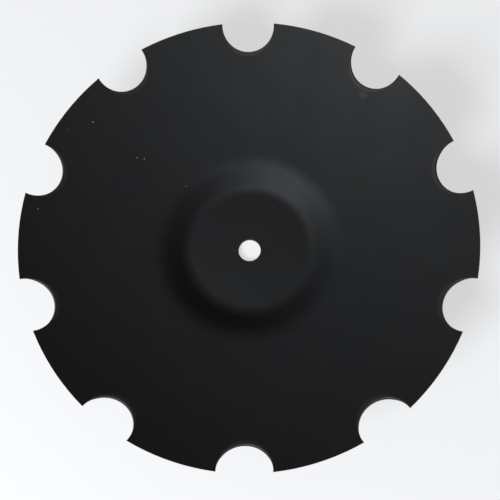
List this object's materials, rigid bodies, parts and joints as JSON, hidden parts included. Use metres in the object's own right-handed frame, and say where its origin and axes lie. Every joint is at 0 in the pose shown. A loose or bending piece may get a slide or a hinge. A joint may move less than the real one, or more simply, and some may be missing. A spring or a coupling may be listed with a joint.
{
  "type": "notched disc harrow blade",
  "caption": "Dished round steel blade with a scalloped rim, a flat crimped centre, a round bolt hole and a bevelled cutting edge, painted satin black.",
  "frame": {"origin": "centre of the flat centre's underside, which is the lowest face and what the blade rests on", "axes": "+Z along the disc's axis, out of the hollow side; one notch is centred on +Y"},
  "size_m": [0.6099, 0.6058, 0.1019],
  "materials": {
    "black_paint": "satin"
  },
  "bodies": {
    "root": {"disc_blade": "black_paint"}
  },
  "joints": []
}
